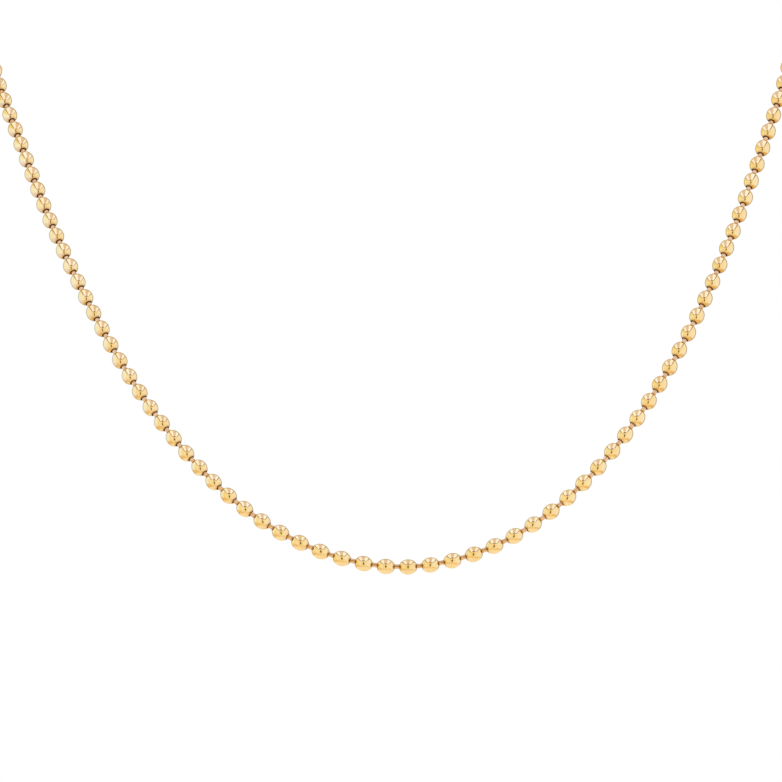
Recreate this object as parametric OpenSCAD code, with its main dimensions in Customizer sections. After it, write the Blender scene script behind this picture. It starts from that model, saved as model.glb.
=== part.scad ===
// Ball chain necklace. Hollow balls are strung on short pins whose heads are held inside
// them, and one barrel clasp closes the loop behind the neck.
// The origin is where the clasp rests on the nape. Z is up and the front faces -Y.

/* [Necklace] */
// Length round the whole loop, made up to the nearest whole ball
necklace_length = 457; // [360:1:610]

/* [Balls] */
// Width of a ball across the chain
ball_d = 2.5; // [2.2:0.05:3]
// Length of a ball along the chain, from hole to hole
ball_l = 2.7; // [2.4:0.05:3.2]
// Wall of a hollow ball
ball_wall = 0.15; // [0.1:0.01:0.2]
// Width of the hole in each end of a ball, and in each end of the clasp
hole_d = 1.1; // [1.05:0.01:1.3]

/* [Links] */
// Length of a link that shows between two balls
link_gap = 0.9; // [0.7:0.05:1.5]
// Width of a link where it leaves a ball
link_d = 0.72; // [0.5:0.01:0.76]
// Width of a link at its waist, half way between two balls
waist_d = 0.66; // [0.4:0.01:0.7]
// How far the head of a link reaches past the edge of the hole that holds it
head_lip = 0.13; // [0.08:0.01:0.2]
// Thickness of a link's head
head_t = 0.25; // [0.15:0.01:0.35]
// Free play between a link's head and the edge of the hole that holds it
head_play = 0.18; // [0.15:0.01:0.25]

/* [Clasp] */
// Length of the barrel clasp
clasp_l = 12.4; // [9:0.1:15]
// Width of the barrel clasp at its middle
clasp_d = 3.2; // [2.8:0.1:4]
// Width of the barrel clasp at its ends
clasp_end_d = 2.1; // [2:0.05:2.5]
// Thickness of the clasp's end walls
clasp_wall = 0.3; // [0.2:0.05:0.5]
// Free play between a link's head and the socket in the clasp
socket_play = 0.2; // [0.15:0.01:0.25]
// Width of the seam groove round the clasp's middle
groove_w = 0.24; // [0.1:0.02:0.5]
// Depth of the seam groove
groove_t = 0.12; // [0.05:0.01:0.3]

/* [Hidden] */

// Points that steer the chain, from the nape over the +X shoulder, down to the front
// and back up over the -X shoulder
route_points = [
    [0, 0, 0],
    [12, -0.5, 0.5],
    [30, -4, 0],
    [48, -11, -5],
    [62, -24.5, -16.25],
    [67.25, -39.25, -29],
    [63.25, -51.25, -42.25],
    [57.25, -64.75, -59.25],
    [51, -76.75, -75.25],
    [40, -89.25, -95.25],
    [23.5, -96, -113.25],
    [0.5, -97.25, -121],
    [-23, -96.25, -111.75],
    [-39, -82.75, -93.75],
    [-47.75, -72, -79],
    [-56.25, -56.25, -61.75],
    [-61.5, -42.5, -47.25],
    [-67.5, -27.5, -33],
    [-66, -16, -17.25],
    [-52.5, -7, -4.5],
    [-33, -1, 1],
    [-12.5, -0.5, 0.5]
];
samples_per_point = 24;

// Fineness of the round shapes, and of the clasp's long side arc
round_fn = 64;
long_arc_fn = 240;

// Narrow bands, from hole to hole, that round the side of a ball
side_bands = 8;

// How far a cut runs past the surface that it opens
past = 1;

ball_r = ball_d / 2;
hole_r = hole_d / 2;

// The side of a ball follows one arc, which runs from hole to hole over its widest place
side_r = side_radius(ball_r, hole_r, ball_l);
side_x = ball_r - side_r;
inside_r = side_r - ball_wall;
rim_z = sqrt(inside_r ^ 2 - (hole_r - side_x) ^ 2);

// Heights on a link are measured from the middle of the ball that holds its head
link_r = link_d / 2;
head_r = hole_r + head_lip;
shoulder_z = rim_z + hole_r - head_r - head_play * sqrt(2);
head_z = shoulder_z - head_t;
neck_z = shoulder_z + head_r - link_r;

pitch = ball_l + link_gap;

// A link's head turns about a point inside the clasp as it does about a ball's middle
clasp_side_r = side_radius(clasp_d / 2, clasp_end_d / 2, clasp_l);
turn_z = clasp_l / 2 - clasp_wall - rim_z;
clasp_pitch = rim_z + clasp_wall + link_gap + ball_l / 2;

ball_count = round((necklace_length - 2 * (turn_z + clasp_pitch)) / pitch) + 1;
loop_length = 2 * (turn_z + clasp_pitch) + (ball_count - 1) * pitch;

sample_count = len(route_points) * samples_per_point;
samples = [for (i = [0 : sample_count]) spline_at(i / samples_per_point)];
run_lengths = [
    for (i = 0, run = 0; i <= sample_count; i = i + 1, run = run + step_before(i)) run
];
route_scale = loop_length / run_lengths[sample_count];
run_table = [
    for (i = [0 : sample_count]) [run_lengths[i] * route_scale, i / samples_per_point]
];

// Where each link's head turns: one end of the clasp, every ball, the clasp's other end
stops = [
    turn_z,
    for (i = [0 : ball_count - 1]) turn_z + clasp_pitch + i * pitch,
    loop_length - turn_z
];
centres = [for (run = stops) place_at(run)];

// Radius of an arc that is middle_r from the axis at its middle and end_r at its ends
function side_radius(middle_r, end_r, length) =
    let (rise = middle_r - end_r)
    (rise ^ 2 + (length / 2) ^ 2) / (2 * rise);

// The edges of a ball's bands, from hole to hole, where the arc of its side has radius r
function band_edges(r) =
    let (reach = acos((hole_r - side_x) / r))
    [
        for (i = [0 : side_bands])
            let (angle = reach * (2 * i / side_bands - 1))
            [side_x + r * cos(angle), r * sin(angle)]
    ];

// A smooth closed curve steered by the route's points
function steer(i) = route_points[(i + len(route_points)) % len(route_points)];
function blend(a, b, c, d, u) =
    (
        a * (1 - u) ^ 3
        + b * (3 * u ^ 3 - 6 * u ^ 2 + 4)
        + c * (3 * u + 3 * u ^ 2 - 3 * u ^ 3 + 1)
        + d * u ^ 3
    ) / 6;
function spline_at(t) =
    let (i = floor(t))
    blend(steer(i - 1), steer(i), steer(i + 1), steer(i + 2), t - i);
function step_before(i) = i > sample_count ? 0 : norm(samples[i] - samples[i - 1]);

// The place on the loop that is a given length from the clasp's middle
function place_at(run) =
    route_scale * (spline_at(lookup(run, run_table)) - spline_at(0)) + [0, clasp_d / 2, 0];

// Puts a shape that is made along Z at a point, facing a direction
module aim(point, direction) {
    turn = atan2(direction.y, direction.x);
    lean = acos(direction.z / norm(direction));
    translate(point)
        rotate([0, lean, turn])
            children();
}

module ball() {
    outside = band_edges(side_r);
    inside = band_edges(inside_r);
    rotate_extrude($fn = round_fn)
        polygon(concat(outside, [for (i = [side_bands : -1 : 0]) inside[i]]));
}

// A link whose heads are held in the balls at z = 0 and z = span
module link(span) {
    half = [
        [0, head_z],
        [head_r, head_z],
        [head_r, shoulder_z],
        [link_r, neck_z],
        [link_r, ball_l / 2],
        [waist_d / 2, span / 2]
    ];
    other_half = [for (i = [len(half) - 2 : -1 : 0]) [half[i].x, span - half[i].y]];
    rotate_extrude($fn = round_fn)
        polygon(concat(half, other_half));
}

module socket() {
    socket_r = head_r + socket_play;
    socket_l = rim_z - head_z + socket_play;
    translate([0, 0, clasp_l / 2 - clasp_wall - socket_l])
        cylinder(h = socket_l, r = socket_r, $fn = round_fn);
    translate([0, 0, clasp_l / 2 - clasp_wall - past / 2])
        cylinder(h = clasp_wall + past, r = hole_r, $fn = round_fn);
}

module barrel() {
    difference() {
        rotate_extrude($fn = round_fn)
            difference() {
                intersection() {
                    translate([clasp_d / 2 - clasp_side_r, 0])
                        circle(r = clasp_side_r, $fn = long_arc_fn);
                    translate([0, -clasp_l / 2])
                        square([clasp_d, clasp_l]);
                }
                translate([clasp_d / 2 - groove_t, -groove_w / 2])
                    square([groove_t + past, groove_w]);
            }
        socket();
        mirror([0, 0, 1])
            socket();
    }
}

module balls() {
    color("gold")
        for (i = [1 : ball_count])
            aim(centres[i], centres[i + 1] - centres[i - 1])
                ball();
}

module links() {
    color("goldenrod")
        for (i = [0 : ball_count])
            aim(centres[i], centres[i + 1] - centres[i])
                link(norm(centres[i + 1] - centres[i]));
}

module clasp() {
    start = centres[ball_count + 1];
    end = centres[0];
    color("gold")
        aim((start + end) / 2, end - start)
            barrel();
}

balls();
links();
clasp();
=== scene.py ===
"""Looks of a ball chain necklace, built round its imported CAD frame.

Hollow gold balls, waisted links and a barrel clasp replace the plain CAD nodes, each in the
place that the CAD gives it. The chain hangs in its worn form in a soft studio.
"""

import logging
import math
from abc import ABC, abstractmethod
from collections.abc import Callable, Sequence
from dataclasses import dataclass
from enum import Enum
import bmesh
import bpy
import numpy as np
from mathutils import Matrix, Vector


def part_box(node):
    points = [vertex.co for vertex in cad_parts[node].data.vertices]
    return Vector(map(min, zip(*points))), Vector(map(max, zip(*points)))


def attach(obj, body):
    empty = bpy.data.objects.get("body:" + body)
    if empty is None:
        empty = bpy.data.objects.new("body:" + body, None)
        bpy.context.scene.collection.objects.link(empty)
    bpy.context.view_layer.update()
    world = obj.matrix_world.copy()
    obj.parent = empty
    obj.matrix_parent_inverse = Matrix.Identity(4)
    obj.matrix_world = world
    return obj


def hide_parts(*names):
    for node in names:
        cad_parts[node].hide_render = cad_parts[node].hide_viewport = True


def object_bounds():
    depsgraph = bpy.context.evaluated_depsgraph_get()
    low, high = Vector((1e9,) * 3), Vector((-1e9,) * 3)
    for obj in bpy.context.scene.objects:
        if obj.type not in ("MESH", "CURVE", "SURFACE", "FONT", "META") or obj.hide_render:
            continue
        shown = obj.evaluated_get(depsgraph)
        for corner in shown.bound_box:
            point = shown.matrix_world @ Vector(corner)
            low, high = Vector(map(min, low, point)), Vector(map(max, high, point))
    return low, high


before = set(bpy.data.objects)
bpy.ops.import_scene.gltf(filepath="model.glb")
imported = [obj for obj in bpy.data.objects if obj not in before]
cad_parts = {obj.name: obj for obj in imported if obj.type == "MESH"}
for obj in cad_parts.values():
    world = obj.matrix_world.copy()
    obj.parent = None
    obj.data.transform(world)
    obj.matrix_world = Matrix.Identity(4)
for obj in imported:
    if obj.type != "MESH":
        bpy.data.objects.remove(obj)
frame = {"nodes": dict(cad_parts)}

# A colour is linear red, green and blue. A fade is where a share is 0 and where it is 1.
# A ring is a radius and a height on a shape that is turned about Z.
Colour = tuple[float, float, float]
Point = tuple[float, float, float]
Fade = tuple[float, float]
Ring = tuple[float, float]
Socket = bpy.types.NodeSocket
Input = Socket | float | Sequence[float]

CAD_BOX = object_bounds()
MM = 0.001
BODY = "root"

# Rings are matched and merged within the first, and the CAD's vertices within the second
RING_SLACK = 0.002 * MM
CAD_SLACK = 0.0005 * MM

log = logging.getLogger("necklace")


class Sheen(Enum):
    """How finely a metal surface is polished, as its lowest and highest roughness."""

    MIRROR = (0.07, 0.14)
    DRAWN = (0.12, 0.24)
    TUMBLED = (0.07, 0.16)


class Maths(Enum):
    """The sums that a Math node is used for here."""

    SIZE = "ABSOLUTE"
    PRODUCT = "MULTIPLY"
    LARGER = "MAXIMUM"


class NodeGraph:
    """Adds shader nodes to one node tree and links them, with short calls for the usual ones."""

    def __init__(self, tree: bpy.types.NodeTree) -> None:
        """Empties a node tree.

        Args:
            tree: The tree of a material or of the world.
        """
        self.tree = tree
        tree.nodes.clear()

    def add(self, kind: str, **inputs: Input) -> bpy.types.Node:
        """Adds a node and fills its inputs.

        Args:
            kind: The node's type, such as "ShaderNodeMath".
            inputs: Input names, with spaces as underscores, and what each input takes.

        Returns:
            The new node.
        """
        node = self.tree.nodes.new(kind)
        for name, value in inputs.items():
            self.feed(node.inputs[name.replace("_", " ")], value)
        return node

    def feed(self, socket: Socket, value: Input) -> None:
        """Fills one input.

        Args:
            socket: The input.
            value: An output socket to link to it, or its own value. A colour gets full opacity.
        """
        if isinstance(value, Socket):
            self.tree.links.new(value, socket)
        elif socket.type == "RGBA":
            socket.default_value = (*value, 1.0)
        else:
            socket.default_value = value

    def maths(self, operation: Maths, *values: Input) -> Socket:
        """Adds a Math node.

        Args:
            operation: What the node works out.
            values: One or two numbers or sockets.

        Returns:
            The result's socket.
        """
        node = self.tree.nodes.new("ShaderNodeMath")
        node.operation = operation.value
        for socket, value in zip(node.inputs, values):
            self.feed(socket, value)
        return node.outputs[0]

    def fade(self, value: Socket, fade: Fade) -> Socket:
        """Adds a smooth step from 0 to 1.

        Args:
            value: The socket to read.
            fade: Where the step is 0 and where it is 1, which may be the lower of the two.

        Returns:
            The result's socket.
        """
        falls = fade[1] < fade[0]
        node = self.add(
            "ShaderNodeMapRange",
            Value=value,
            From_Min=min(fade),
            From_Max=max(fade),
            To_Min=float(falls),
            To_Max=float(not falls),
        )
        node.interpolation_type = "SMOOTHSTEP"
        return node.outputs["Result"]

    def spread(self, value: Socket, low: float, high: float) -> Socket:
        """Maps a value between 0 and 1 to a value between low and high."""
        node = self.add("ShaderNodeMapRange", Value=value, To_Min=low, To_Max=high)
        return node.outputs["Result"]

    def noise(self, place: Socket, scale: float, detail: float = 2.0) -> Socket:
        """Adds a Noise Texture and returns its value's socket."""
        node = self.add("ShaderNodeTexNoise", Vector=place, Scale=scale, Detail=detail)
        return node.outputs[0]

    def blend(self, share: Socket, first: Input, second: Input) -> Socket:
        """Mixes two colours.

        Args:
            share: How much of the second colour shows, from 0 to 1.
            first: The first colour.
            second: The second colour.

        Returns:
            The mixed colour's socket.
        """
        node = self.tree.nodes.new("ShaderNodeMix")
        node.data_type = "RGBA"
        self.feed(node.inputs[0], share)
        self.feed(node.inputs[6], first)
        self.feed(node.inputs[7], second)
        return node.outputs[2]

    def lay(self, ground: Input, patches: Sequence[tuple[Socket, Input]]) -> Socket:
        """Lays patches of colour over a ground, each over those before it.

        Args:
            ground: The colour below the patches.
            patches: How much of each patch shows, from 0 to 1, and its colour.

        Returns:
            The mixed colour's socket.
        """
        for share, colour in patches:
            ground = self.blend(share, ground, colour)
        return ground


@dataclass(frozen=True)
class Finish(ABC):
    """A surface's looks, which a class for each kind of surface fills in."""

    name: str

    def make(self) -> bpy.types.Material:
        """Builds the finish as a node material.

        Returns:
            The material.
        """
        material = bpy.data.materials.new(self.name)
        material.use_nodes = True
        graph = NodeGraph(material.node_tree)
        place = graph.add("ShaderNodeTexCoord").outputs["Object"]
        shader = self._shader(graph, place)
        graph.add("ShaderNodeOutputMaterial", Surface=shader.outputs[0])
        return material

    @abstractmethod
    def _shader(self, graph: NodeGraph, place: Socket) -> bpy.types.Node:
        """Builds the surface's shader.

        Args:
            graph: The material's nodes.
            place: The socket of the object's coordinates.

        Returns:
            The shader's node.
        """


@dataclass(frozen=True)
class GoldPlate(Finish):
    """Polished gold plate over brass, with a slight change of tone and fine polishing lines.

    A plate with a worn colour shows it where the piece's attribute says: partly wear, and
    partly painted shade where balls and links meet. Sizes are in metres.
    """

    colour: Colour
    deep_colour: Colour
    edge_tint: Colour
    sheen: Sheen
    worn_and_shaded_colour: Colour | None = None
    patch_size: float = 2.6 * MM
    patch_fade: Fade = (0.36, 0.66)
    line_size: float = 0.05 * MM
    line_stretch: Point = (1.0, 0.22, 0.55)
    line_depth: float = 0.0006 * MM
    dimple_size: float = 0.55 * MM
    dimple_depth: float = 0.0015 * MM
    smear_fade: Fade = (0.35, 0.7)

    def _shader(self, graph: NodeGraph, place: Socket) -> bpy.types.Node:
        """Builds the plate's shader.

        Args:
            graph: The material's nodes.
            place: The socket of the object's coordinates.

        Returns:
            The shader's node.
        """
        patches = graph.noise(place, 1 / self.patch_size, detail=3.0)
        colour = graph.blend(
            graph.fade(patches, self.patch_fade), self.deep_colour, self.colour
        )
        if self.worn_and_shaded_colour:
            # Darker towards the ends where balls and links meet: partly wear, partly painted shade
            wear_and_shade = graph.add("ShaderNodeAttribute")
            wear_and_shade.attribute_name = "wear_and_shade"
            colour = graph.blend(wear_and_shade.outputs["Fac"], colour, self.worn_and_shaded_colour)
        smears = graph.noise(place, 1 / self.dimple_size, detail=4.0)
        return graph.add(
            "ShaderNodeBsdfPrincipled",
            Base_Color=colour,
            Metallic=1.0,
            Roughness=graph.spread(graph.fade(smears, self.smear_fade), *self.sheen.value),
            Normal=self._relief(graph, place),
            Specular_Tint=self.edge_tint,
        )

    def _relief(self, graph: NodeGraph, place: Socket) -> Socket:
        """Raises fine polishing lines on a faintly uneven plate.

        Args:
            graph: The material's nodes.
            place: The socket of the object's coordinates.

        Returns:
            The socket of the surface's normal.
        """
        stretch = graph.add("ShaderNodeMapping", Vector=place, Scale=self.line_stretch)
        lines = graph.noise(stretch.outputs[0], 1 / self.line_size)
        fine = graph.add("ShaderNodeBump", Height=lines, Distance=self.line_depth, Strength=1.0)
        plate = graph.add(
            "ShaderNodeBump",
            Height=graph.noise(place, 1 / self.dimple_size, detail=1.0),
            Distance=self.dimple_depth,
            Strength=1.0,
            Normal=fine.outputs[0],
        )
        return plate.outputs[0]


BALL_GOLD = GoldPlate(
    name="polished_gold",
    colour=(1.0, 0.775, 0.385),
    deep_colour=(0.985, 0.725, 0.315),
    # Partly wear, partly painted shade near the holes
    worn_and_shaded_colour=(0.62, 0.38, 0.14),
    edge_tint=(1.0, 0.95, 0.86),
    sheen=Sheen.MIRROR,
)
LINK_GOLD = GoldPlate(
    name="drawn_gold",
    colour=(0.95, 0.63, 0.31),
    deep_colour=(0.86, 0.52, 0.23),
    # Partly wear, partly painted shade where the links enter the balls
    worn_and_shaded_colour=(0.56, 0.33, 0.14),
    edge_tint=(1.0, 0.9, 0.8),
    sheen=Sheen.DRAWN,
    patch_size=1.2 * MM,
)
CLASP_GOLD = GoldPlate(
    name="tumbled_gold",
    colour=(1.0, 0.775, 0.385),
    deep_colour=(0.97, 0.7, 0.3),
    edge_tint=(1.0, 0.95, 0.86),
    sheen=Sheen.TUMBLED,
)


@dataclass(frozen=True)
class PaintedShadeBrass(Finish):
    """Dark brown brass: painted shade inside the balls, where the hollow and holes lie in shadow.
    """

    name: str = "painted_shade_brass"
    colour: Colour = (0.46, 0.16, 0.026)
    deep_colour: Colour = (0.28, 0.08, 0.01)
    patch_size: float = 0.35 * MM
    grain_depth: float = 0.004 * MM
    roughness: float = 0.6

    def _shader(self, graph: NodeGraph, place: Socket) -> bpy.types.Node:
        """Builds the brass's shader.

        Args:
            graph: The material's nodes.
            place: The socket of the object's coordinates.

        Returns:
            The shader's node.
        """
        patches = graph.noise(place, 1 / self.patch_size, detail=3.0)
        grain = graph.add(
            "ShaderNodeBump", Height=patches, Distance=self.grain_depth, Strength=1.0
        )
        return graph.add(
            "ShaderNodeBsdfPrincipled",
            Base_Color=graph.blend(patches, self.deep_colour, self.colour),
            Roughness=self.roughness,
            Normal=grain.outputs[0],
            Specular_IOR_Level=0.0,
        )


@dataclass(frozen=True)
class FloorPaint(Finish):
    """Matt off-white paint with a faint mottle and a faint glow."""

    name: str = "floor_paint"
    colour: Colour = (0.86, 0.84, 0.8)
    mottle_scale: float = 9.0
    mottle_shade: float = 0.97
    roughness: float = 0.85
    glow_colour: Colour = (1.0, 0.9, 0.7)
    glow: float = 0.26

    def _shader(self, graph: NodeGraph, place: Socket) -> bpy.types.Node:
        """Builds the paint's shader.

        Args:
            graph: The material's nodes.
            place: The socket of the object's coordinates.

        Returns:
            The shader's node.
        """
        darker = [self.mottle_shade * part for part in self.colour]
        return graph.add(
            "ShaderNodeBsdfPrincipled",
            Base_Color=graph.blend(graph.noise(place, self.mottle_scale), darker, self.colour),
            Roughness=self.roughness,
            Emission_Color=self.glow_colour,
            Emission_Strength=self.glow,
        )


@dataclass(frozen=True)
class LitCloth(Finish):
    """The tent's ceiling: two bright panes, a softer band between them and a dark hem.

    Fades are in metres from the middle line, or in front of the nape.
    """

    name: str = "lit_cloth"
    pane_colour: Colour = (1.06, 1.18, 1.75)
    band_colour: Colour = (0.8, 0.7, 0.82)
    band_side: Fade = (0.065, 0.045)
    gap_colour: Colour = (0.1, 0.06, 0.035)
    gap_side: Fade = (0.1, 0.07)
    gap_front: Fade = (0.29, 0.33)
    hem_colour: Colour = (0.22, 0.12, 0.05)
    hem_side: Fade = (0.167, 0.174)
    hem_front: Fade = (0.355, 0.37)

    def _shader(self, graph: NodeGraph, place: Socket) -> bpy.types.Node:
        """Builds the cloth's shader.

        Args:
            graph: The material's nodes.
            place: The socket of the object's coordinates.

        Returns:
            The shader's node.
        """
        side, back, _ = graph.add("ShaderNodeSeparateXYZ", Vector=place).outputs
        wide = graph.maths(Maths.SIZE, side)
        front = graph.maths(Maths.PRODUCT, back, -1.0)
        gap = graph.maths(
            Maths.PRODUCT, graph.fade(wide, self.gap_side), graph.fade(front, self.gap_front)
        )
        hem = graph.maths(
            Maths.LARGER, graph.fade(wide, self.hem_side), graph.fade(front, self.hem_front)
        )
        light = graph.lay(
            self.pane_colour,
            [
                (graph.fade(wide, self.band_side), self.band_colour),
                (gap, self.gap_colour),
                (hem, self.hem_colour),
            ],
        )
        return graph.add("ShaderNodeEmission", Color=light, Strength=1.0)


class Bench:
    """The modelling steps that every piece is made with."""

    @staticmethod
    def clear() -> None:
        """Deselects every object and leaves edit mode."""
        if bpy.context.object and bpy.context.object.mode != "OBJECT":
            bpy.ops.object.mode_set(mode="OBJECT")
        bpy.ops.object.select_all(action="DESELECT")

    @staticmethod
    def select_faces(piece: bpy.types.Object, test: Callable[[Vector], bool]) -> None:
        """Selects the faces that pass a test.

        Args:
            piece: The object in edit mode.
            test: Takes a face's middle, in metres.
        """
        bpy.ops.mesh.select_mode(type="FACE")
        bpy.ops.mesh.select_all(action="DESELECT")
        mesh = bmesh.from_edit_mesh(piece.data)
        for face in mesh.faces:
            face.select = test(face.calc_center_median())
        mesh.select_flush_mode()
        bmesh.update_edit_mesh(piece.data)

    @staticmethod
    def select_edges(
        piece: bpy.types.Object, test: Callable[[Vector], bool], rims_only: bool = True
    ) -> None:
        """Selects the edges that pass a test.

        Args:
            piece: The object in edit mode.
            test: Takes an edge's middle, in metres.
            rims_only: Passes only the edges of openings.
        """
        bpy.ops.mesh.select_mode(type="EDGE")
        bpy.ops.mesh.select_all(action="DESELECT")
        mesh = bmesh.from_edit_mesh(piece.data)
        for edge in mesh.edges:
            if edge.is_boundary or not rims_only:
                edge.select = test((edge.verts[0].co + edge.verts[1].co) / 2)
        mesh.select_flush_mode()
        bmesh.update_edit_mesh(piece.data)

    @staticmethod
    def draw(profile: Sequence[Ring], side: int) -> None:
        """Draws the selected ring of edges out along a profile, in edit mode.

        Args:
            profile: The selected ring and then each new ring.
            side: 1 where the heights are above the middle, and -1 where they are below it.
        """
        for (radius, height), (next_radius, next_height) in zip(profile, profile[1:]):
            bpy.ops.mesh.extrude_edges_move(
                TRANSFORM_OT_translate={"value": (0.0, 0.0, side * (next_height - height))}
            )
            grow = next_radius / radius
            bpy.ops.transform.resize(
                value=(grow, grow, 1.0), center_override=(0.0, 0.0, side * next_height)
            )

    @staticmethod
    def paint_wear_and_shade(piece: bpy.types.Object, amount: Callable[[Vector], float]) -> None:
        """Marks each vertex's darkening from wear and painted shade, which the finish reads.

        Args:
            piece: The piece to mark, in object mode.
            amount: Takes a vertex's place and gives its wear and painted shade, from 0 to 1.
        """
        layer = piece.data.attributes.new("wear_and_shade", "FLOAT", "POINT")
        for mark, vert in zip(layer.data, piece.data.vertices):
            mark.value = amount(vert.co)

    @staticmethod
    def finish_mesh(piece: bpy.types.Object, angle: float) -> None:
        """Merges doubles, turns faces outward and smooths the shading.

        Args:
            piece: The active object, in edit mode, which it leaves.
            angle: Edges sharper than this stay sharp, in degrees.
        """
        bpy.ops.mesh.select_mode(type="FACE")
        bpy.ops.mesh.select_all(action="SELECT")
        bpy.ops.mesh.remove_doubles(threshold=RING_SLACK)
        bpy.ops.mesh.normals_make_consistent(inside=False)
        bpy.ops.object.mode_set(mode="OBJECT")
        bpy.ops.object.shade_smooth_by_angle(angle=math.radians(angle))
        weigh = piece.modifiers.new("weigh", "WEIGHTED_NORMAL")
        weigh.keep_sharp = True
        bpy.ops.object.modifier_apply(modifier="weigh")

    @staticmethod
    def string(
        master: bpy.types.Object, places: Sequence[Matrix], name: str
    ) -> bpy.types.Object:
        """Copies a shape to each of its places and joins the copies.

        Args:
            master: The shape, made along Z at the origin. It is deleted.
            places: Where each copy goes. The places are applied to the meshes.
            name: The joined piece's name.

        Returns:
            The joined piece, whose object sits at the origin.
        """
        Bench.clear()
        copies = []
        for place in places:
            copy = master.copy()
            copy.data = master.data.copy()
            copy.data.transform(place)
            bpy.context.scene.collection.objects.link(copy)
            copies.append(copy)
        for copy in copies:
            copy.select_set(True)
        bpy.context.view_layer.objects.active = copies[0]
        bpy.ops.object.join()
        piece = bpy.context.view_layer.objects.active
        piece.name = name
        piece.data.name = name
        bpy.data.objects.remove(master)
        return piece


@dataclass(frozen=True)
class ChainRoute:
    """Where the chain hangs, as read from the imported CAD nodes.

    The balls are in order, from the one at the clasp's +X end. The stops are the points that
    the links' heads turn about: one in the clasp, one in each ball, and one in the clasp.
    """

    balls: list[Vector]
    stops: list[Vector]

    @classmethod
    def from_frame(cls, nodes: dict[str, bpy.types.Object]) -> "ChainRoute":
        """Reads the route.

        Args:
            nodes: The CAD nodes by name.

        Returns:
            The route.
        """
        low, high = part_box("clasp")
        clasp = (low + high) / 2
        balls = cls._in_order(cls._middles(nodes["balls"]), clasp)
        links = cls._middles(nodes["links"])
        first = min(links, key=lambda link: (link - balls[0]).length + (link - clasp).length)
        last = min(links, key=lambda link: (link - balls[-1]).length + (link - clasp).length)
        return cls(balls, [2 * first - balls[0], *balls, 2 * last - balls[-1]])

    @staticmethod
    def _middles(node: bpy.types.Object) -> list[Vector]:
        """Finds the middle of each loose solid of a CAD node.

        Args:
            node: The CAD node, which is only read.

        Returns:
            The middles, weighted by area.
        """
        mesh = node.data
        mesh.calc_loop_triangles()
        places = np.empty(len(mesh.vertices) * 3)
        mesh.vertices.foreach_get("co", places)
        places = places.reshape(-1, 3)
        corners = np.empty(len(mesh.loop_triangles) * 3, dtype=np.int64)
        mesh.loop_triangles.foreach_get("vertices", corners)
        corners = corners.reshape(-1, 3)
        solid = ChainRoute._solids(places, corners)
        triangles = places[corners]
        sides = np.cross(triangles[:, 1] - triangles[:, 0], triangles[:, 2] - triangles[:, 0])
        areas = np.linalg.norm(sides, axis=1)
        centres = triangles.mean(axis=1)
        return [
            Vector(np.average(centres[solid == one], axis=0, weights=areas[solid == one]))
            for one in np.unique(solid)
        ]

    @staticmethod
    def _solids(places: np.ndarray, corners: np.ndarray) -> np.ndarray:
        """Finds the loose solid that each triangle belongs to.

        Vertices at one place count as one. Each takes the lowest number of those that it
        shares a triangle with, until no number changes.

        Args:
            places: The vertices' places.
            corners: The three vertices of each triangle.

        Returns:
            A number for each triangle, which is its solid's.
        """
        _, same = np.unique(np.round(places / CAD_SLACK), axis=0, return_inverse=True)
        merged = same.reshape(-1)[corners]
        label = np.arange(merged.max() + 1)
        while True:
            lowest = label[merged].min(axis=1)
            new = label.copy()
            for corner in range(3):
                np.minimum.at(new, merged[:, corner], lowest)
            new = new[new]
            if np.array_equal(new, label):
                return label[merged[:, 0]]
            label = new

    @staticmethod
    def _in_order(middles: list[Vector], clasp: Vector) -> list[Vector]:
        """Walks from ball to nearest ball, from the one next to the clasp on its +X side.

        Args:
            middles: The balls' middles, in any order.
            clasp: The clasp's middle.

        Returns:
            The middles in order round the loop.
        """
        left = list(middles)
        here = min(
            (middle for middle in left if middle.x > clasp.x),
            key=lambda middle: (middle - clasp).length,
        )
        walked = [here]
        left.remove(here)
        while left:
            here = min(left, key=lambda middle: (middle - here).length)
            walked.append(here)
            left.remove(here)
        return walked

    @staticmethod
    def _aim(middle: Vector, direction: Vector, stretch: float = 1.0) -> Matrix:
        """Gives the place of a shape made along Z, which may be stretched along Z."""
        aim = direction.to_track_quat("Z", "Y").to_matrix().to_4x4()
        return Matrix.Translation(middle) @ aim @ Matrix.Diagonal((1, 1, stretch, 1))

    def ball_places(self) -> list[Matrix]:
        """Gives each ball's place, along the line between its neighbours.

        Returns:
            The places.
        """
        return [
            self._aim(here, after - before)
            for before, here, after in zip(self.stops, self.balls, self.stops[2:])
        ]

    def link_places(self, length: float) -> list[Matrix]:
        """Gives each link's place, between the two points that its heads turn about.

        Args:
            length: The modelled link's length between those points.

        Returns:
            The places.
        """
        return [
            self._aim((start + end) / 2, end - start, (end - start).length / length)
            for start, end in zip(self.stops, self.stops[1:])
        ]


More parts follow.
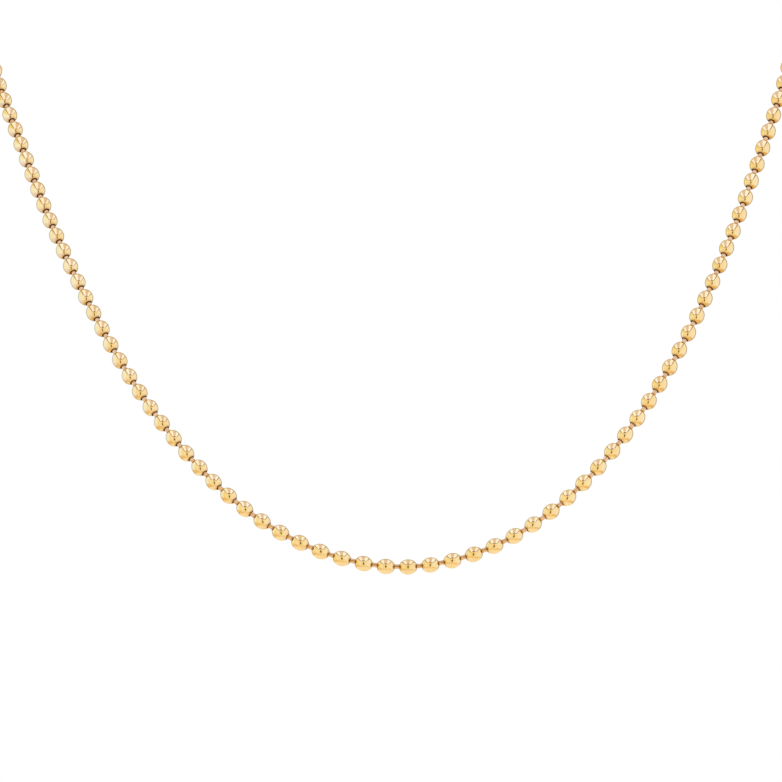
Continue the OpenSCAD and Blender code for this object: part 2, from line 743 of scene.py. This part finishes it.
@dataclass(frozen=True)
class BallString:
    """The hollow balls, each drilled through and open at both ends.

    A ball starts as a sphere of rings, whose caps are cut off at the holes. Inner rings are
    shares of the way from the ball's middle to its drilled holes. Sizes are in metres.
    """

    width: float = 2.5 * MM
    length: float = 2.7 * MM
    wall: float = 0.15 * MM
    hole_depth: float = 0.188 * MM
    lip_width: float = 0.0077 * MM
    lip_depth: float = 0.0198 * MM
    sides: int = 24
    rings: int = 14
    cap_rings: int = 2
    inner_rings: tuple[float, ...] = (0.83, 0.45)
    smooth_angle: float = 32.0
    shade_reach: float = 0.964
    wear_and_shade_start: float = 0.8
    finish: GoldPlate = BALL_GOLD
    inside_shade_finish: PaintedShadeBrass = PaintedShadeBrass()

    def build(self, route: ChainRoute) -> bpy.types.Object:
        """Models one ball and strings its copies along the route.

        Args:
            route: Where the balls hang.

        Returns:
            The joined balls, dressed.
        """
        ball = self._model()
        self._dress(ball)
        piece = Bench.string(ball, route.ball_places(), "chain_balls")
        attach(piece, BODY)
        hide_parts("balls")
        return piece

    @property
    def _cap(self) -> float:
        """The angle at the ball's middle between its axis and a hole's edge, in radians."""
        return math.pi * self.cap_rings / self.rings

    @property
    def _pole(self) -> float:
        """The height that the ball would have from its middle with its caps still on."""
        return self.length / 2 / math.cos(self._cap)

    def _model(self) -> bpy.types.Object:
        """Models one ball along Z at the origin.

        Returns:
            The ball, a closed hollow shell.
        """
        top = self.length / 2
        Bench.clear()
        bpy.ops.mesh.primitive_uv_sphere_add(
            segments=self.sides,
            ring_count=self.rings,
            radius=self.width / 2,
            scale=(1.0, 1.0, self._pole / (self.width / 2)),
        )
        ball = bpy.context.object
        bpy.ops.object.transform_apply(location=False, rotation=False, scale=True)
        bpy.ops.object.mode_set(mode="EDIT")
        Bench.select_faces(ball, lambda middle: abs(middle.z) > top)
        bpy.ops.mesh.delete(type="FACE")
        profile = self._inner_profile()
        for side in (1, -1):
            Bench.select_edges(ball, lambda middle: abs(middle.z - side * top) < RING_SLACK)
            Bench.draw(profile, side)
        last_height = profile[-1][1]
        Bench.select_edges(ball, lambda middle: abs(abs(middle.z) - last_height) < RING_SLACK)
        bpy.ops.mesh.bridge_edge_loops()
        Bench.finish_mesh(ball, self.smooth_angle)
        return ball

    def _inner_profile(self) -> list[Ring]:
        """Gives the rings of a rounded lip, the drilled hole and half of the inner wall.

        Returns:
            The rings, from the hole's edge inwards.
        """
        top = self.length / 2
        hole = self.width / 2 * math.sin(self._cap)
        inside = self.width / 2 - self.wall
        inside_pole = self._pole - self.wall
        heights = [share * (top - self.hole_depth) for share in self.inner_rings]
        return [
            (hole, top),
            (hole - self.lip_width, top - self.lip_depth),
            (hole - self.lip_width, top - self.hole_depth),
            *[(inside * math.sqrt(1 - (height / inside_pole) ** 2), height) for height in heights],
        ]

    def _dress(self, ball: bpy.types.Object) -> None:
        """Gives the outside its plate, and the drilled holes and the hollow painted shade.

        Args:
            ball: The ball, still along Z at the origin.
        """
        ball.data.materials.append(self.finish.make())
        ball.data.materials.append(self.inside_shade_finish.make())
        for face in ball.data.polygons:
            # The reach is 1 on the round outside, a little less at its flat faces' middles
            wide = face.center.xy.length / (self.width / 2)
            reach = wide ** 2 + (face.center.z / self._pole) ** 2
            # Faces inside the reach, in the holes and the hollow, get dark brass as painted shade
            face.material_index = int(reach < self.shade_reach)
        # Darker towards the holes: wear, and painted shade where the links enter
        Bench.paint_wear_and_shade(ball, self._wear_and_shade)

    def _wear_and_shade(self, place: Vector) -> float:
        """Gives wear and painted shade at a place, growing towards the holes where links rub."""
        share = (abs(place.z) / (self.length / 2) - self.wear_and_shade_start) / (1 - self.wear_and_shade_start)
        return max(0.0, min(1.0, share)) ** 2


@dataclass(frozen=True)
class LinkString:
    """The waisted links, each with a head inside the ball at either end.

    A link widens from its waist to its flare, where it enters a ball, and has the taper's
    share of that widening half way there. Its neck and its head's two faces are measured
    from the middle of that ball. Sizes are in metres.
    """

    span: float = 3.6 * MM
    half_gap: float = 0.45 * MM
    waist: float = 0.72 * MM
    flare: float = 0.78 * MM
    taper: float = 0.25
    neck_width: float = 0.72 * MM
    neck: float = 1.0971 * MM
    head_width: float = 1.36 * MM
    head_outer: float = 0.7771 * MM
    head_inner: float = 0.5271 * MM
    sides: int = 16
    smooth_angle: float = 34.0
    finish: GoldPlate = LINK_GOLD
    inside_shade_finish: PaintedShadeBrass = PaintedShadeBrass(name="head_shade_brass")

    def build(self, route: ChainRoute) -> bpy.types.Object:
        """Models one link and strings its copies along the route.

        Args:
            route: Where the links hang.

        Returns:
            The joined links, dressed.
        """
        link = self._model()
        self._dress(link)
        piece = Bench.string(link, route.link_places(self.span), "chain_links")
        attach(piece, BODY)
        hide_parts("links")
        return piece

    def _model(self) -> bpy.types.Object:
        """Models one link along Z, with its waist at the origin.

        Returns:
            The link.
        """
        profile = self._profile()
        end_radius, end_height = profile[0]
        last_radius, last_height = profile[-1]
        Bench.clear()
        bpy.ops.mesh.primitive_cylinder_add(
            vertices=self.sides, radius=end_radius, depth=2 * end_height, end_fill_type="NGON"
        )
        link = bpy.context.object
        bpy.ops.object.mode_set(mode="EDIT")
        Bench.select_faces(link, lambda middle: middle.xy.length > end_radius / 2)
        bpy.ops.mesh.delete(type="FACE")
        for side in (1, -1):
            Bench.select_edges(
                link, lambda middle: abs(middle.z - side * end_height) < RING_SLACK
            )
            Bench.draw(profile, side)
        Bench.select_edges(link, lambda middle: abs(abs(middle.z) - last_height) < RING_SLACK)
        bpy.ops.mesh.bridge_edge_loops(number_cuts=1, interpolation="LINEAR")
        Bench.select_edges(link, lambda middle: abs(middle.z) < RING_SLACK, rims_only=False)
        shrink = self.waist / 2 / last_radius
        bpy.ops.transform.resize(value=(shrink, shrink, 1.0), center_override=(0.0, 0.0, 0.0))
        Bench.finish_mesh(link, self.smooth_angle)
        return link

    def _profile(self) -> list[Ring]:
        """Gives the rings of one half of a link.

        Returns:
            The rings, from the end of its head to half way between the flare and the waist.
        """
        half = self.span / 2
        half_way = self.waist + self.taper * (self.flare - self.waist)
        return [
            (self.head_width / 2, half - self.head_inner),
            (self.head_width / 2, half - self.head_outer),
            (self.neck_width / 2, half - self.neck),
            (self.flare / 2, self.half_gap),
            (half_way / 2, self.half_gap / 2),
        ]

    def _dress(self, link: bpy.types.Object) -> None:
        """Gives the part between the balls its plate, and what is inside them painted shade.

        Args:
            link: The link, still along Z at the origin.
        """
        link.data.materials.append(self.finish.make())
        link.data.materials.append(self.inside_shade_finish.make())
        for face in link.data.polygons:
            # The parts inside the balls get dark brass as painted shade
            face.material_index = int(abs(face.center.z) > self.half_gap)
        # Darker towards the balls: wear, and painted shade where the link enters them
        Bench.paint_wear_and_shade(link, lambda place: min(1.0, abs(place.z) / self.half_gap) ** 2)


@dataclass(frozen=True)
class BarrelClasp:
    """The barrel clasp: a bellied case with a seam groove and a socket in each end.

    Sizes are in metres.
    """

    length: float = 12.4 * MM
    width: float = 3.2 * MM
    end_width: float = 2.1 * MM
    hole: float = 1.1 * MM
    hole_chamfer: float = 0.04 * MM
    wall: float = 0.3 * MM
    socket_width: float = 1.76 * MM
    socket_depth: float = 0.83 * MM
    groove_width: float = 0.24 * MM
    groove_depth: float = 0.12 * MM
    groove_chamfer: float = 0.05 * MM
    end_rounding: float = 0.08 * MM
    end_rounding_middle: float = 0.024 * MM
    sides: int = 48
    bands: int = 9
    smooth_angle: float = 38.0
    finish: GoldPlate = CLASP_GOLD

    def build(self) -> bpy.types.Object:
        """Models the clasp in its place at the nape.

        Returns:
            The clasp, dressed.
        """
        low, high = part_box("clasp")
        clasp = self._model()
        place = Matrix.Translation((low + high) / 2) @ Matrix.Rotation(math.pi / 2, 4, "Y")
        clasp.data.transform(place)
        clasp.data.materials.append(self.finish.make())
        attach(clasp, BODY)
        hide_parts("clasp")
        return clasp

    def _model(self) -> bpy.types.Object:
        """Models the clasp along Z at the origin.

        Returns:
            The clasp.
        """
        profile = self._profile()
        radius, height = profile[0]
        Bench.clear()
        bpy.ops.mesh.primitive_cylinder_add(
            vertices=self.sides, radius=radius, depth=2 * height, end_fill_type="NOTHING"
        )
        clasp = bpy.context.object
        clasp.name = "barrel_clasp"
        clasp.data.name = "barrel_clasp"
        bpy.ops.object.mode_set(mode="EDIT")
        for side in (1, -1):
            Bench.select_edges(clasp, lambda middle: abs(middle.z - side * height) < RING_SLACK)
            Bench.draw(profile, side)
            bpy.ops.mesh.edge_face_add()
        Bench.finish_mesh(clasp, self.smooth_angle)
        return clasp

    def _profile(self) -> list[Ring]:
        """Gives the rings of one half of the clasp.

        Returns:
            The rings, from the seam groove over the case and into the socket.
        """
        top = self.length / 2
        groove = self.groove_width / 2
        start = groove + self.groove_chamfer
        step = (top - self.end_rounding - start) / self.bands
        heights = [start + step * band for band in range(self.bands + 1)]
        end = self._radius(top)
        hole = self.hole / 2
        socket = self.socket_width / 2
        return [
            (self.width / 2 - self.groove_depth, groove),
            (self._radius(groove) - self.groove_chamfer, groove),
            *[(self._radius(height), height) for height in heights],
            (end - self.end_rounding_middle, top - self.end_rounding_middle),
            (end - self.end_rounding, top),
            (hole + self.hole_chamfer, top),
            (hole, top - self.hole_chamfer),
            (hole, top - self.wall),
            (socket, top - self.wall),
            (socket, top - self.wall - self.socket_depth),
        ]

    def _radius(self, height: float) -> float:
        """Gives the case's radius at a height.

        Args:
            height: The height above the clasp's middle.

        Returns:
            The radius, on an arc that runs from end to end.
        """
        rise = (self.width - self.end_width) / 2
        arc = (rise ** 2 + (self.length / 2) ** 2) / (2 * rise)
        return self.width / 2 - arc + math.sqrt(arc ** 2 - height ** 2)


@dataclass(frozen=True)
class Softbox:
    """A large soft light that the camera doesn't see. Places and sizes are in metres."""

    name: str
    middle: Point
    facing: Point
    width: float
    height: float
    colour: Colour
    glow: float

    def build(self) -> None:
        """Hangs the light."""
        lamp = bpy.data.lights.new(self.name, "AREA")
        lamp.shape = "RECTANGLE"
        lamp.size = self.width
        lamp.size_y = self.height
        lamp.color = self.colour
        lamp.energy = self.glow * math.pi * self.width * self.height
        light = bpy.data.objects.new(self.name, lamp)
        aim = Vector(self.facing).to_track_quat("-Z", "Y").to_matrix().to_4x4()
        light.matrix_world = Matrix.Translation(self.middle) @ aim
        light.visible_camera = False
        bpy.context.scene.collection.objects.link(light)


@dataclass(frozen=True)
class Canopy:
    """The lit cloth over the necklace, which only reflections show. Sizes are in metres."""

    width: float = 0.42
    depth: float = 0.504
    middle: Point = (0.0, -0.162, 0.12)
    finish: LitCloth = LitCloth()

    def build(self) -> None:
        """Spreads the cloth."""
        Bench.clear()
        bpy.ops.mesh.primitive_plane_add(size=1.0)
        cloth = bpy.context.object
        cloth.name = "canopy"
        cloth.scale = (self.width, self.depth, 1.0)
        cloth.location = self.middle
        bpy.ops.object.transform_apply(location=True, rotation=True, scale=True)
        cloth.visible_camera = False
        cloth.data.materials.append(self.finish.make())


@dataclass(frozen=True)
class Floor:
    """The thin round floor below the necklace. Sizes are in metres."""

    radius: float = 0.098
    thickness: float = 0.006
    drop: float = 0.06
    rounding: float = 0.0015
    rounding_steps: int = 3
    sides: int = 96
    smooth_angle: float = 40.0
    finish: FloorPaint = FloorPaint()

    def build(self) -> None:
        """Lays the floor."""
        low, high = CAD_BOX
        height = low.z - self.drop - self.thickness / 2
        Bench.clear()
        bpy.ops.mesh.primitive_cylinder_add(
            vertices=self.sides,
            radius=self.radius,
            depth=self.thickness,
            location=((low.x + high.x) / 2, (low.y + high.y) / 2, height),
        )
        floor = bpy.context.object
        floor.name = "floor"
        bpy.ops.object.transform_apply(location=True, rotation=False, scale=False)
        bevel = floor.modifiers.new("round", "BEVEL")
        bevel.width = self.rounding
        bevel.segments = self.rounding_steps
        bpy.ops.object.modifier_apply(modifier="round")
        bpy.ops.object.shade_smooth_by_angle(angle=math.radians(self.smooth_angle))
        floor.data.materials.append(self.finish.make())


@dataclass(frozen=True)
class Tent:
    """The light tent's walls, painted by the direction that their light comes from.

    Fades are along the direction's parts to the side, to the front and up, each from -1 to 1.
    The camera sees a plain background in place of the walls.
    """

    left_colour: Colour = (0.95, 0.87, 0.6)
    right_colour: Colour = (0.97, 1.0, 1.25)
    right_side: Fade = (-0.2, 1.2)
    far_left_colour: Colour = (0.94, 0.85, 0.45)
    far_left_side: Fade = (-0.8, -0.97)
    under_colour: Colour = (0.92, 0.74, 0.49)
    under_up: Fade = (-0.53, -0.6)
    under_edge_colour: Colour = (0.86, 0.62, 0.34)
    under_edge_side: Fade = (0.25, 0.5)
    low_left_colour: Colour = (0.86, 0.64, 0.35)
    low_left_side: Fade = (0.0, -0.5)
    low_left_up: Fade = (-0.2, -0.5)
    behind_colour: Colour = (0.42, 0.44, 0.48)
    behind_front: Fade = (-0.55, -0.68)
    behind_right_colour: Colour = (0.26, 0.27, 0.29)
    behind_right_side: Fade = (0.0, 0.3)
    backdrop_colour: Colour = (0.95, 0.95, 0.95)
    backdrop_front: Fade = (-0.8, -0.88)
    slit_colour: Colour = (0.42, 0.27, 0.15)
    slit_side: Fade = (0.12, 0.07)
    slit_foot: Fade = (-0.45, -0.38)
    slit_top: Fade = (0.5, 0.42)
    slit_front: Fade = (0.3, 0.36)
    opening_colour: Colour = (0.12, 0.05, 0.015)
    opening_front: Fade = (0.978, 0.992)
    background_colour: Colour = (1.0, 1.0, 1.0)

    def build(self) -> None:
        """Paints the walls and the background."""
        world = bpy.data.worlds.new("tent")
        bpy.context.scene.world = world
        world.use_nodes = True
        graph = NodeGraph(world.node_tree)
        walls = graph.add("ShaderNodeBackground", Color=self._light(graph), Strength=1.0)
        plain = graph.add("ShaderNodeBackground", Color=self.background_colour, Strength=1.0)
        seen = graph.tree.nodes.new("ShaderNodeMixShader")
        graph.feed(seen.inputs[0], graph.add("ShaderNodeLightPath").outputs["Is Camera Ray"])
        graph.feed(seen.inputs[1], walls.outputs[0])
        graph.feed(seen.inputs[2], plain.outputs[0])
        graph.add("ShaderNodeOutputWorld", Surface=seen.outputs[0])

    def _light(self, graph: NodeGraph) -> Socket:
        """Works out the walls' light.

        Args:
            graph: The world's nodes.

        Returns:
            The light's socket.
        """
        direction = graph.add("ShaderNodeTexCoord").outputs["Generated"]
        side, back, up = graph.add("ShaderNodeSeparateXYZ", Vector=direction).outputs
        front = graph.maths(Maths.PRODUCT, back, -1.0)
        wide = graph.maths(Maths.SIZE, side)
        walls = graph.blend(
            graph.fade(side, self.right_side), self.left_colour, self.right_colour
        )
        under = graph.blend(
            graph.fade(wide, self.under_edge_side), self.under_colour, self.under_edge_colour
        )
        low_left = graph.maths(
            Maths.PRODUCT, graph.fade(side, self.low_left_side), graph.fade(up, self.low_left_up)
        )
        behind = graph.blend(
            graph.fade(side, self.behind_right_side), self.behind_colour, self.behind_right_colour
        )
        slit = graph.maths(
            Maths.PRODUCT, graph.fade(up, self.slit_foot), graph.fade(up, self.slit_top)
        )
        slit = graph.maths(Maths.PRODUCT, graph.fade(wide, self.slit_side), slit)
        slit = graph.maths(Maths.PRODUCT, slit, graph.fade(front, self.slit_front))
        return graph.lay(
            walls,
            [
                (graph.fade(side, self.far_left_side), self.far_left_colour),
                (graph.fade(up, self.under_up), under),
                (low_left, self.low_left_colour),
                (graph.fade(front, self.behind_front), behind),
                (graph.fade(front, self.backdrop_front), self.backdrop_colour),
                (slit, self.slit_colour),
                (graph.fade(front, self.opening_front), self.opening_colour),
            ],
        )


@dataclass(frozen=True)
class Viewpoint:
    """The camera, level and far in front of the necklace, as the photograph's was.

    It aims beside the nape and above the middle of the lowest ball. Sizes are in metres, and
    the sensor's width is in millimetres.
    """

    distance: float = 3.0
    field_width: float = 0.12568
    aim_side: float = -0.102 * MM
    aim_rise: float = 28.277 * MM
    ball_radius: float = 1.25 * MM
    sensor: float = 36.0
    nearest: float = 0.1
    farthest: float = 20.0

    def build(self) -> None:
        """Sets up the camera and the plain colour view."""
        low, _ = CAD_BOX
        lens = bpy.data.cameras.new("camera")
        lens.sensor_width = self.sensor
        lens.lens = self.sensor * self.distance / self.field_width
        lens.clip_start = self.nearest
        lens.clip_end = self.farthest
        camera = bpy.data.objects.new("camera", lens)
        front = low.y + self.ball_radius - self.distance
        height = low.z + self.ball_radius + self.aim_rise
        camera.location = (self.aim_side, front, height)
        camera.rotation_euler = (math.pi / 2, 0.0, 0.0)
        bpy.context.scene.collection.objects.link(camera)
        bpy.context.scene.camera = camera
        bpy.context.scene.view_settings.view_transform = "Standard"


@dataclass(frozen=True)
class Studio:
    """A light tent with a dark opening for the camera, a small round floor and the camera."""

    floor: Floor = Floor()
    softboxes: tuple[Softbox, ...] = (
        Softbox("left_card", (-0.09, -0.06, -0.08), (1, 0, 0), 0.09, 0.09, (0.0, 0.24, 1.0), 0.85),
        Softbox("left_fill", (-0.185, -0.25, -0.11), (0, 1, 0), 0.17, 0.28, (0.0, 0.2, 1.0), 0.38),
        Softbox("low_fill", (-0.08, -0.2, -0.215), (0, 1, 0), 0.11, 0.1, (0.0, 0.35, 1.0), 0.25),
    )
    canopy: Canopy = Canopy()
    tent: Tent = Tent()
    viewpoint: Viewpoint = Viewpoint()

    def build(self) -> None:
        """Makes each part of the studio."""
        for part in (self.floor, *self.softboxes, self.canopy, self.tent, self.viewpoint):
            part.build()


def main() -> None:
    """Builds the necklace's pieces and the studio, and reports each piece."""
    logging.basicConfig(level=logging.INFO, format="%(name)s: %(message)s")
    route = ChainRoute.from_frame(frame["nodes"])
    log.info("route: %d balls, %d links", len(route.balls), len(route.stops) - 1)
    for piece in (BallString().build(route), LinkString().build(route), BarrelClasp().build()):
        piece.data.calc_loop_triangles()
        log.info("%s: %d triangles", piece.name, len(piece.data.loop_triangles))
    Studio().build()


if __name__ == "__main__":
    main()
